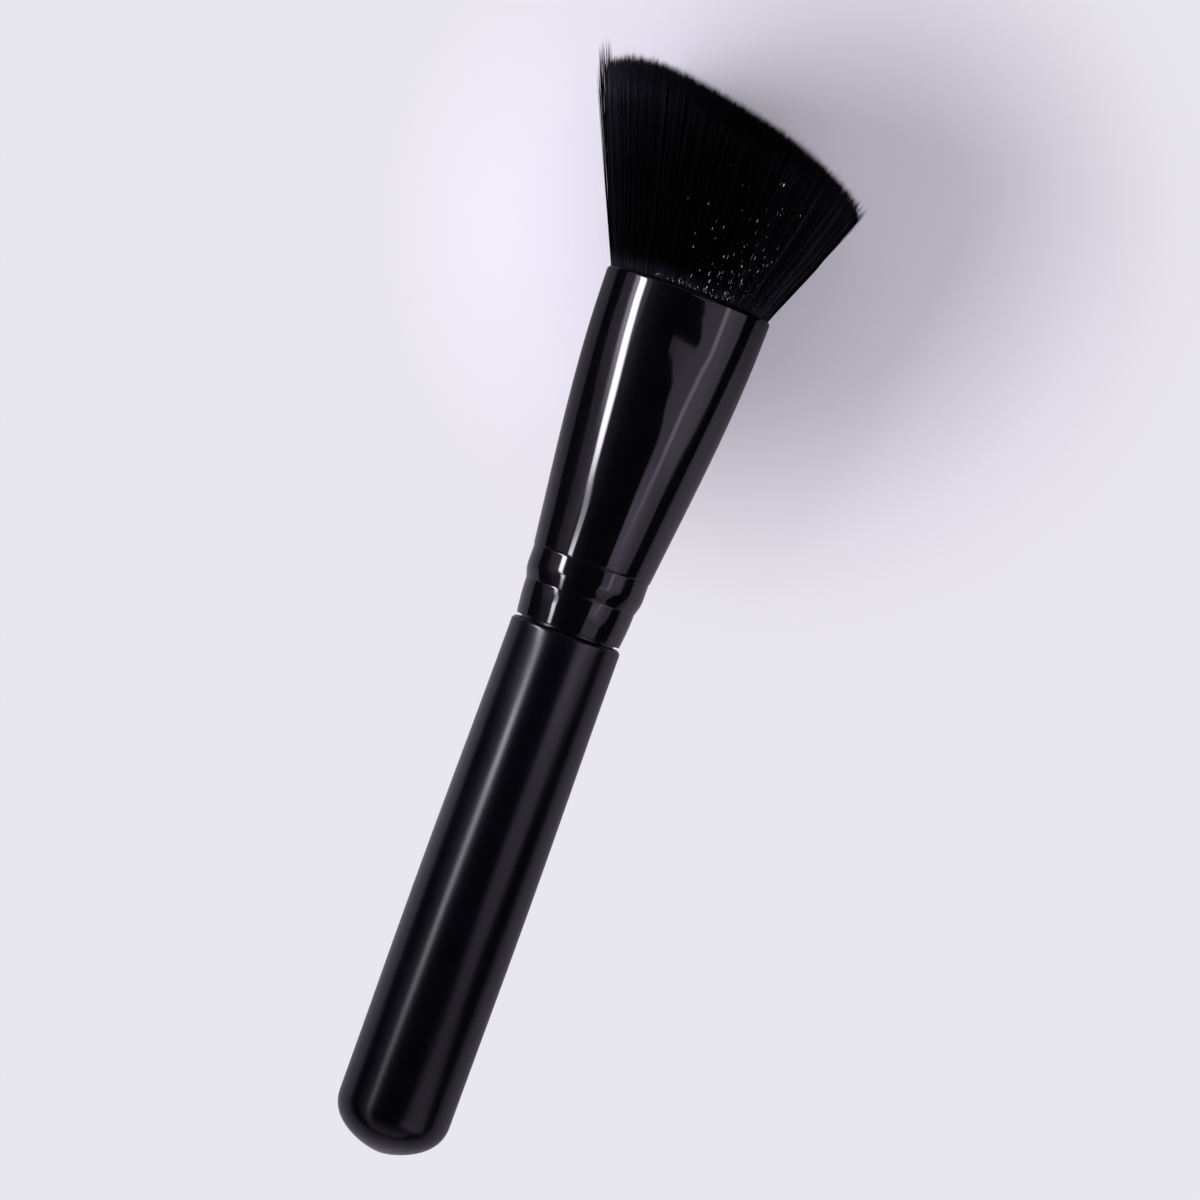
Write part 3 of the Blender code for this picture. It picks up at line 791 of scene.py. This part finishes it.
# Table
# A pale lilac-grey studio table. Past its lit middle gloss sees it through a black glow, a painted
# shade, and to the camera it keeps its pale colour.
TABLE_HALF = 3.0
TABLE_DARK = (0.775, 0.757, 0.795, 1.0)
TABLE_LIGHT = (0.800, 0.783, 0.820, 1.0)
TABLE_PATCH = 0.05
TABLE_ROUGHNESS = 0.8
TABLE_SHEEN = 0.1
PAPER_GRAIN = 0.0012
PAPER_DEPTH = 0.00006
PAPER_STRENGTH = 0.3
PALE = (0.81, 0.79, 0.865, 1.0)
# Past the lit strip, and within it by the shades below, gloss sees the table through a black glow: painted
# shade
LIT_FADE = 0.006
LIT_LEFT_FADE = 0.0035
LIT_LEFT = (-0.965, 0.262, 0.0)
LIT_LEFT_REACH = 0.0545
LIT_RIGHT = (0.487, 0.873, 0.0)
LIT_RIGHT_REACH = 0.073
HEAD_SHADE_WAY = (-0.5, 0.866, 0.0)
HEAD_SHADE_START = -0.020
HEAD_SHADE_FADE = 0.070
HEAD_SHADE = 0.75
LEFT_SHADE = 0.36
RIGHT_SHADE = 0.22
SIDES_START = -0.005
SIDES_FADE = 0.01
HEAD_MIDDLE = (0.014, 0.066, 0.0)
FAR_RADIUS = 0.018
FAR_FADE = 0.045
PALE_SHARE = 0.20
ROOM_LIGHT = 0.35
ROOM_GLOSS = 0.01


def laid_over(tree, surface, colour, share, ray):
    """A plain glow of the colour, which covers share of the surface for one kind of ray."""
    is_ray = tree.nodes.new("ShaderNodeLightPath").outputs[ray]
    glow = tree.nodes.new("ShaderNodeEmission")
    glow.inputs["Color"].default_value = colour
    mix = tree.nodes.new("ShaderNodeMixShader")
    tree.links.new(worked(tree, "MULTIPLY", share, is_ray), mix.inputs[0])
    tree.links.new(surface, mix.inputs[1])
    tree.links.new(glow.outputs["Emission"], mix.inputs[2])
    return mix.outputs["Shader"]


def table_finish():
    """Pale paper. Gloss sees only the lit strip under the brush, and the camera a pale glow with it.

    The strip ends on each side where a place's measure along that side's direction passes its
    reach, and past it a black glow paints shade for gloss. Within it, gloss sees painted shade towards
    the head, and a little on each side. The pale glow is weakest over the head's shadow.
    """
    material, tree, shader = finish_of("pale_table")
    place = tree.nodes.new("ShaderNodeTexCoord").outputs["Object"]
    tone = between(tree, mottle(tree, place, TABLE_PATCH), 0, 1)
    tree.links.new(two_tone(tree, tone, TABLE_DARK, TABLE_LIGHT), shader.inputs["Base Color"])
    shader.inputs["Roughness"].default_value = TABLE_ROUGHNESS
    shader.inputs["Specular IOR Level"].default_value = TABLE_SHEEN
    paper = raised(tree, mottle(tree, place, PAPER_GRAIN, detail=4.0), PAPER_DEPTH, PAPER_STRENGTH)
    tree.links.new(paper, shader.inputs["Normal"])
    past_left = ramp(tree, measured(tree, place, "DOT_PRODUCT", LIT_LEFT), LIT_LEFT_REACH, LIT_LEFT_FADE)
    past_right = ramp(tree, measured(tree, place, "DOT_PRODUCT", LIT_RIGHT), LIT_RIGHT_REACH, LIT_FADE)
    # Painted shade for gloss: darker towards the head, and a little on each side
    towards_head = measured(tree, place, "DOT_PRODUCT", HEAD_SHADE_WAY)
    head_painted_shade = ramp(tree, towards_head, HEAD_SHADE_START, HEAD_SHADE_FADE, 0.0, HEAD_SHADE)
    to_right = measured(tree, place, "DOT_PRODUCT", (1, 0, 0))
    sideways = ramp(tree, to_right, SIDES_START, SIDES_FADE, LEFT_SHADE, RIGHT_SHADE)
    surface = shader.outputs["BSDF"]
    # Each black glow paints shade into what gloss sees of the table
    for painted_gloss_shade in (sideways, head_painted_shade, worked(tree, "MAXIMUM", past_left, past_right)):
        surface = laid_over(tree, surface, (0, 0, 0, 1), painted_gloss_shade, "Is Glossy Ray")
    away = measured(tree, place, "DISTANCE", HEAD_MIDDLE)
    glow_share = ramp(tree, away, FAR_RADIUS, FAR_FADE, PALE_SHARE, 1.0)
    surface = laid_over(tree, surface, PALE, glow_share, "Is Camera Ray")
    tree.links.new(surface, tree.nodes["Material Output"].inputs["Surface"])
    return material


table_mesh = bpy.data.meshes.new("table")
table_corners = TABLE_HALF * np.array([(-1, -1, 0), (1, -1, 0), (1, 1, 0), (-1, 1, 0)])
table_mesh.from_pydata(table_corners, [], [(0, 1, 2, 3)])
table_mesh.materials.append(table_finish())
table = bpy.data.objects.new("table", table_mesh)
bpy.context.scene.collection.objects.link(table)

world = bpy.data.worlds.new("studio")
world.use_nodes = True
bpy.context.scene.world = world
room = world.node_tree
rays = room.nodes.new("ShaderNodeLightPath")
sky = room.nodes["Background"]
sky.inputs["Color"].default_value = PALE
sky.inputs["Strength"].default_value = ROOM_LIGHT
for ray, strength in (("Is Glossy Ray", ROOM_GLOSS), ("Is Camera Ray", 1.0)):
    seen = room.nodes.new("ShaderNodeBackground")
    seen.inputs["Color"].default_value = PALE
    seen.inputs["Strength"].default_value = strength
    mix = room.nodes.new("ShaderNodeMixShader")
    room.links.new(rays.outputs[ray], mix.inputs[0])
    room.links.new(sky.outputs[0], mix.inputs[1])
    room.links.new(seen.outputs["Background"], mix.inputs[2])
    sky = mix
room.links.new(sky.outputs[0], room.nodes["World Output"].inputs["Surface"])

# Lamps
# Two soft boxes stand along the brush: a narrow bright one on the long side, which draws the crisp
# line down the ferrule, and a broad dim one on the short side. A faint glow fills each side and end.
LAMP_DISTANCE = 0.12
END_GLOW_DISTANCE = 0.25
KEY_COLOUR = (0.90, 0.87, 1.0)
PANEL_COLOUR = (0.88, 0.77, 1.0)


def curve(tree, value, rows):
    """Carries a value from 0 to 1 along straight lines between the rows, each a place and a height."""
    node = tree.nodes.new("ShaderNodeFloatCurve")
    line = node.mapping.curves[0]
    for place, height in rows[1:-1]:
        line.points.new(place, height)
    for point, (place, height) in zip(line.points, rows):
        point.location = (place, height)
        point.handle_type = "VECTOR"
    node.mapping.update()
    tree.links.new(value, node.inputs["Value"])
    return node.outputs["Value"]


def inside(tree, side, edge, full):
    """Rises smoothly from 0 at the edge to 1 where it is full, both of which change along the lamp."""
    faded = ramp(tree, side, 0.0, 1.0)
    tree.links.new(edge, faded.node.inputs["From Min"])
    tree.links.new(full, faded.node.inputs["From Max"])
    return faded


def soft_box(name, colour, tilt, outline, across, along, softness, distance=LAMP_DISTANCE):
    """A flat lamp that faces the brush, with its long side along it, behind a shaped diffuser.

    It stands the distance from the axis, tilted from straight above towards the short side. The
    outline's rows are a height along the brush and the tilts of the two edges there. Brightness is
    that of the lamp's face: one by tilt, times one by height. The edges fade in over the softness,
    in degrees. A tilt lies at distance times tan(tilt - lamp's tilt) from the lamp's middle.
    """
    outline, across, along = np.array(outline), np.array(across), np.array(along)

    def aside(tilts):
        return distance * np.tan(np.radians(tilts - tilt))

    left, right = aside(outline[:, 1]).min(), aside(outline[:, 2]).max()
    low, high = outline[[0, -1], 0]
    width, length = right - left, high - low

    def by_height(rows, column, peak=1.0):
        return np.column_stack([(rows[:, 0] - low) / length, column / peak]).tolist()

    data = bpy.data.lights.new(name, "AREA")
    data.shape = "RECTANGLE"
    data.size = width
    data.size_y = length
    brightest_tilt, brightest_height = across[:, 1].max(), along[:, 1].max()
    data.energy = brightest_tilt * brightest_height * np.pi * width * length
    data.use_nodes = True
    tree = data.node_tree
    to_share = tree.nodes.new("ShaderNodeMapping")
    to_share.inputs["Location"].default_value = (0.5, 0.5, 0)
    to_share.inputs["Scale"].default_value = (1 / width, 1 / length, 1)
    tree.links.new(tree.nodes.new("ShaderNodeTexCoord").outputs["Object"], to_share.inputs["Vector"])
    shares = tree.nodes.new("ShaderNodeSeparateXYZ")
    tree.links.new(to_share.outputs["Vector"], shares.inputs["Vector"])
    side, rise = shares.outputs["X"], shares.outputs["Y"]
    fade = float(distance * np.radians(softness) / width)
    near = curve(tree, rise, by_height(outline, (aside(outline[:, 1]) - left) / width))
    far = curve(tree, rise, by_height(outline, (aside(outline[:, 2]) - left) / width))
    past_near = inside(tree, side, near, worked(tree, "ADD", near, fade))
    before_far = inside(tree, side, far, worked(tree, "SUBTRACT", far, fade))
    by_tilt = np.column_stack([(aside(across[:, 0]) - left) / width, across[:, 1] / brightest_tilt]).tolist()
    bright = curve(tree, side, by_tilt)
    for share in (curve(tree, rise, by_height(along, along[:, 1], brightest_height)), past_near, before_far):
        bright = worked(tree, "MULTIPLY", bright, share)
    tree.links.new(bright, tree.nodes["Emission"].inputs["Strength"])
    tree.nodes["Emission"].inputs["Color"].default_value = (*colour, 1.0)
    turned = np.radians(tilt)
    back = np.sin(turned) * ACROSS - np.cos(turned) * BELOW
    sideways = np.cos(turned) * ACROSS + np.sin(turned) * BELOW
    place = laid(0.0, 0.0, (low + high) / 2) + distance * back + (left + right) / 2 * sideways
    turn = Matrix(np.column_stack([sideways, ALONG, back]).tolist())
    lamp = bpy.data.objects.new(name, data)
    lamp.matrix_world = Matrix.Translation(place) @ turn.to_4x4()
    lamp.visible_camera = False
    bpy.context.scene.collection.objects.link(lamp)


def strip(rows, to_near, to_far):
    """A lamp's outline from rows of height and middle tilt, and how far each edge is from the middle."""
    return np.column_stack([rows[:, 0], rows[:, 1] - to_near, rows[:, 1] + to_far])


# The crisp line: each row is a height along the brush, the line's middle tilt, and its width in tilt
KEY_LINE = np.array([
    (-0.120, -47.4, 9.5), (-0.006, -47.4, 9.5), (0.003, -46.5, 9.8), (0.012, -45.2, 9.8),
    (0.034, -44.1, 9.8), (0.045, -42.8, 9.8), (0.055, -42.8, 10.5), (0.062, -43.8, 11.0),
    (0.067, -42.6, 12.0), (0.070, -42.8, 12.0), (0.073, -44.6, 11.5), (0.076, -47.4, 10.8),
    (0.079, -48.8, 10.8), (0.084, -50.4, 11.4), (0.087, -51.6, 12.0), (0.091, -52.8, 12.6),
    (0.097, -54.4, 13.0), (0.102, -56.0, 13.0), (0.108, -58.0, 13.0), (0.114, -60.1, 13.0),
    (0.118, -61.0, 13.0), (0.122, -62.0, 13.0), (0.127, -63.3, 12.8), (0.145, -66.0, 12.8),
])
soft_box(
    "key", KEY_COLOUR, -56,
    outline=strip(KEY_LINE, KEY_LINE[:, 2] / 2, KEY_LINE[:, 2] / 2),
    across=((-75, 1.0), (-35, 1.0)),
    along=(
        (-0.120, 1.0), (-0.040, 2.0), (-0.006, 3.3), (0.003, 6.0), (0.012, 8.8), (0.023, 10.6),
        (0.034, 13.0), (0.045, 16.0), (0.052, 19.0), (0.059, 25.0), (0.0635, 24.0), (0.0665, 9.0),
        (0.072, 7.0), (0.075, 10.0), (0.079, 24.0), (0.084, 35.0), (0.088, 39.0), (0.145, 40.0),
    ),
    softness=3.5,
)

# A soft skirt outside the crisp line, by the flare
SKIRT_START = 0.085
soft_box(
    "key_skirt", PANEL_COLOUR, -66,
    outline=strip(KEY_LINE[KEY_LINE[:, 0] > SKIRT_START], 15, -2),
    across=((-85, 1.0), (-50, 1.0)),
    along=((0.087, 0.0), (0.097, 4.6), (0.112, 9.0), (0.145, 10.5)),
    softness=9.0,
)

# The faint glow on the long side, from the crisp line out to the dark line by the rim
soft_box(
    "key_glow", PANEL_COLOUR, -72,
    outline=(
        (-0.100, -71, -50), (0.054, -71, -50), (0.062, -73.5, -50), (0.070, -77.5, -50),
        (0.082, -79.5, -50), (0.088, -81, -50), (0.096, -85, -50), (0.103, -89.5, -50),
        (0.113, -93, -50), (0.118, -94.5, -50), (0.200, -95, -50),
    ),
    across=((-95, 0.9), (-85, 0.9), (-70, 0.95), (-62, 1.25), (-55, 1.7), (-50, 1.9)),
    along=(
        (-0.100, 0.14), (0.063, 0.15), (0.068, 0.38), (0.085, 0.40), (0.100, 0.34), (0.112, 0.48),
        (0.200, 0.46),
    ),
    softness=2.0,
)

# The broad dim panel on the short side, with a notch towards the head
soft_box(
    "panel", PANEL_COLOUR, 52,
    outline=(
        (-0.070, 20, 76), (-0.010, 24, 72), (0.000, 31, 66), (0.006, 32.5, 60), (0.011, 30.5, 58),
        (0.022, 26.0, 56), (0.033, 23.5, 59), (0.044, 24.5, 61.5), (0.058, 25.5, 61.5), (0.062, 27.0, 67),
        (0.067, 27.2, 71), (0.071, 27.2, 72.5), (0.080, 28.0, 73.0), (0.086, 28.0, 73.5), (0.090, 26.0, 75),
        (0.0925, 22.5, 77), (0.095, 20.0, 79), (0.102, 18.5, 81.5), (0.104, 12, 82.5), (0.1065, 10, 83),
        (0.108, -1, 83.5), (0.1155, -2, 84.5), (0.1162, 31, 85), (0.119, 33.5, 86), (0.121, 32, 86.5),
        (0.123, 29.5, 87), (0.125, 27.5, 87.5), (0.127, 23.5, 88), (0.130, 16, 88.5), (0.134, 6, 89),
        (0.140, 0, 89),
    ),
    across=(
        (-2, 0.50), (10, 0.80), (22, 0.92), (32, 1.05), (45, 1.10), (54, 1.05), (64, 0.93), (74, 0.78),
        (85, 0.72), (90, 0.60),
    ),
    along=(
        (-0.070, 0.9), (-0.006, 0.80), (0.003, 0.58), (0.012, 0.66), (0.023, 0.80), (0.034, 0.94),
        (0.045, 0.97), (0.059, 0.88), (0.064, 0.97), (0.074, 1.0), (0.080, 1.12), (0.090, 1.18),
        (0.140, 1.05),
    ),
    softness=3.2,
)

# Three parts of the panel are brighter: by the neck, past its fold by the flare, and the fold itself
soft_box(
    "panel_low", PANEL_COLOUR, 40,
    outline=((0.058, 26, 60), (0.086, 26, 60)),
    across=((26, 1.0), (42, 1.0), (60, 0.0)),
    along=((0.058, 0.0), (0.064, 0.85), (0.074, 0.85), (0.086, 0.0)),
    softness=3.0,
)
soft_box(
    "panel_high", PANEL_COLOUR, 60,
    outline=(
        (0.080, 45, 75), (0.091, 46.5, 79), (0.097, 47.2, 83), (0.101, 48, 85), (0.109, 51, 86),
        (0.115, 55, 87), (0.140, 56, 89),
    ),
    across=((45, 0.55), (66, 0.50), (78, 0.22), (90, 0.10)),
    along=((0.080, 0.0), (0.090, 1.0), (0.140, 1.0)),
    softness=2.0,
)
FOLD_LINE = np.array([
    (0.066, 41.0), (0.075, 44.6), (0.083, 46.6), (0.091, 47.5), (0.097, 48.2), (0.101, 49.0),
    (0.105, 50.7), (0.109, 51.5), (0.112, 53.0), (0.115, 55.3), (0.118, 56.2), (0.140, 57.0),
])
soft_box(
    "panel_fold", PANEL_COLOUR, 50,
    outline=strip(FOLD_LINE, 5.5, 3.2),
    across=((34, 1.0), (62, 1.0)),
    along=(
        (0.066, 0.4), (0.075, 1.0), (0.083, 1.8), (0.091, 2.5), (0.118, 2.5), (0.125, 3.0), (0.140, 3.0),
    ),
    softness=3.4,
)

# Faint glows past the head and past the butt
soft_box(
    "head_glow", PANEL_COLOUR, -5,
    outline=((0.260, -55, 45), (0.420, -55, 45)),
    across=((-55, 1.0), (45, 1.0)),
    along=((0.260, 0.30), (0.420, 0.30)),
    softness=8.0,
    distance=END_GLOW_DISTANCE,
)
soft_box(
    "foot_glow", PANEL_COLOUR, 0,
    outline=((-1.000, -60, 60), (-0.150, -60, 60)),
    across=((-60, 1.0), (60, 1.0)),
    along=((-1.000, 0.9), (-0.500, 0.5), (-0.280, 0.22), (-0.150, 0.0)),
    softness=12.0,
    distance=END_GLOW_DISTANCE,
)

# Camera
# It looks down on the brush from above, a little nearer the head, with the brush leaning to the
# right in the frame.
CAMERA_DISTANCE = 0.62
CAMERA_ACROSS = 0.0028
CAMERA_ALONG = 0.0878
AIM_ALONG = 0.0831
FRAME_SIZE = 0.16764
LEAN = 19.9
SENSOR = 36.0

eye = Vector(laid(CAMERA_ACROSS, -CAMERA_DISTANCE, CAMERA_ALONG))
aim = Vector(laid(CAMERA_ACROSS, 0.0, AIM_ALONG))
upward = Vector(np.cos(np.radians(LEAN)) * ALONG - np.sin(np.radians(LEAN)) * ACROSS)
back = (eye - aim).normalized()
right = upward.cross(back).normalized()
camera_data = bpy.data.cameras.new("camera")
camera_data.sensor_width = SENSOR
camera_data.lens = SENSOR * (eye - aim).length / FRAME_SIZE
camera_data.clip_start = 0.01
camera = bpy.data.objects.new("camera", camera_data)
turn = Matrix((right, back.cross(right), back)).transposed()
camera.matrix_world = Matrix.Translation(eye) @ turn.to_4x4()
bpy.context.scene.collection.objects.link(camera)
bpy.context.scene.camera = camera
bpy.context.scene.view_settings.view_transform = "Standard"
